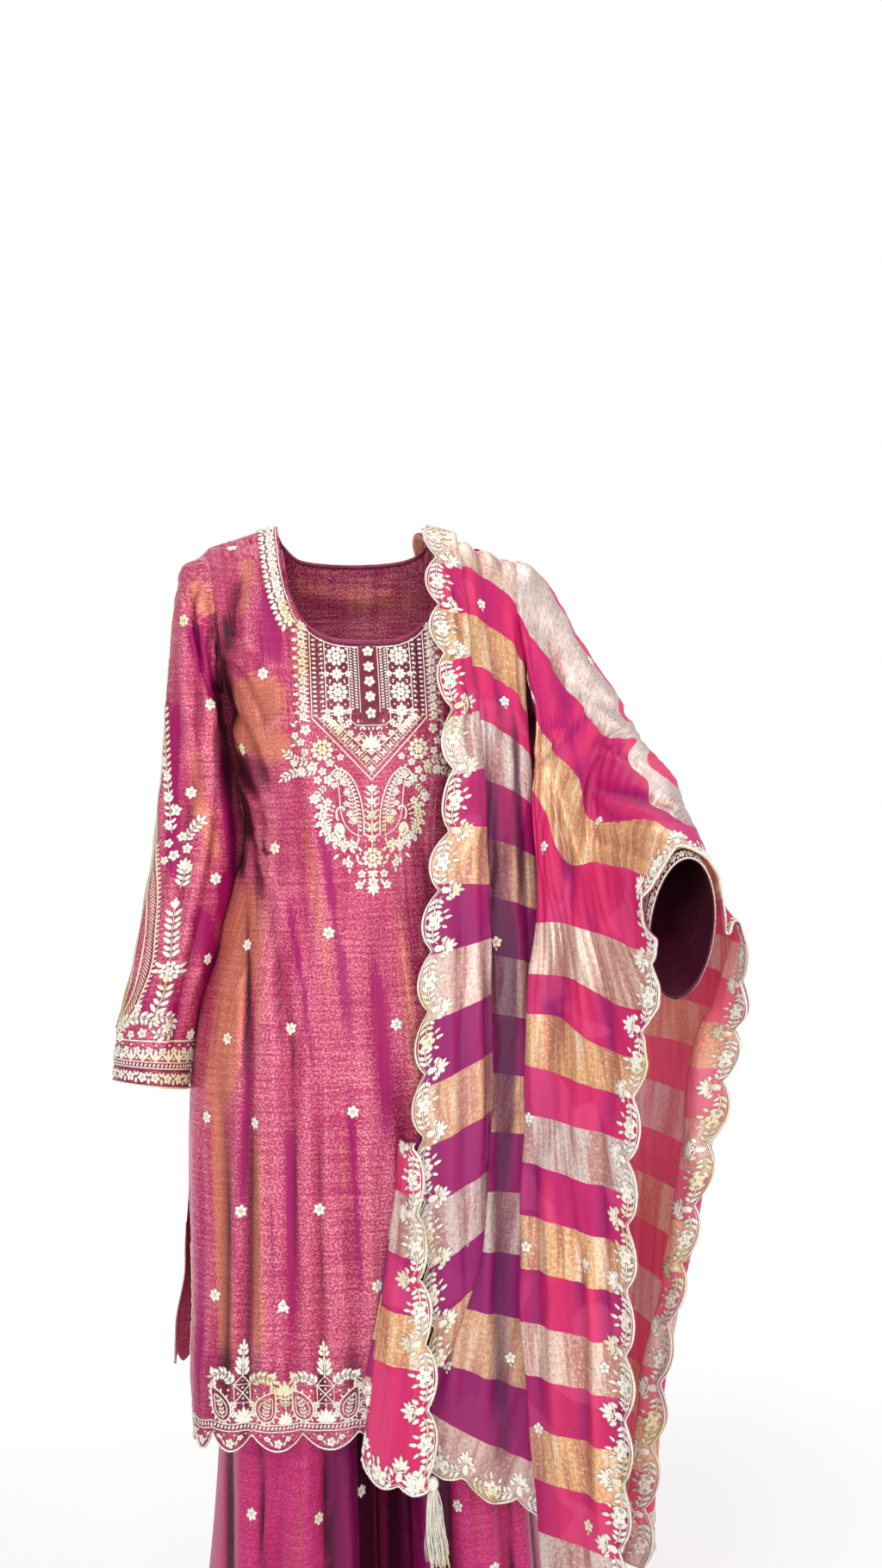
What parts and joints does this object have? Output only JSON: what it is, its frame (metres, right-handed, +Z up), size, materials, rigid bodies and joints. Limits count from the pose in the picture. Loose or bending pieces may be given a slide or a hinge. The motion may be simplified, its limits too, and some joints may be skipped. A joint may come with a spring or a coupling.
{
  "type": "sharara suit",
  "caption": "Worn three-piece suit: long fitted tunic with side slits, wide divided skirt, and a striped veil draped over the left shoulder and forearm.",
  "frame": {"origin": "middle of the neck at shoulder height, where the wearer's shoulders carry the suit", "axes": "+Z up, the front of the suit faces -Y, the suit's right sleeve lies at -X"},
  "size_m": [0.661, 0.4966, 1.464],
  "materials": {
    "kameez_tissue": "metallic tissue silk, raspberry shot with copper, crinkled, soft sheen",
    "sharara_tissue": "metallic tissue silk, deep raspberry, pleated",
    "dupatta_veil": "sheer organza with woven magenta and metallic gold stripes",
    "binding": "dark magenta silk, smooth",
    "thread": "cream and pale gold cord and zari thread"
  },
  "bodies": {
    "root": {"dupatta_arm_cover": "dupatta_veil", "dupatta_back_fall": "dupatta_veil", "dupatta_front_fall": "dupatta_veil", "dupatta_inner_layer": "dupatta_veil", "dupatta_outer_fall": "dupatta_veil", "dupatta_shoulder_pleat": "dupatta_veil", "dupatta_tassel": "thread", "dupatta_turned_flap": "dupatta_veil", "kameez_back": "kameez_tissue", "kameez_front": "kameez_tissue", "neck_binding_back": "binding", "neck_binding_front": "binding", "placket_button_1": "thread", "placket_button_2": "thread", "placket_button_3": "thread", "placket_button_4": "thread", "placket_button_5": "thread", "placket_strip": "binding", "sharara_left_back": "sharara_tissue", "sharara_left_front": "sharara_tissue", "sharara_right_back": "sharara_tissue", "sharara_right_front": "sharara_tissue", "sharara_waistband_back": "sharara_tissue", "sharara_waistband_front": "sharara_tissue", "sleeve_left": "kameez_tissue", "sleeve_right": "kameez_tissue"}
  },
  "joints": []
}
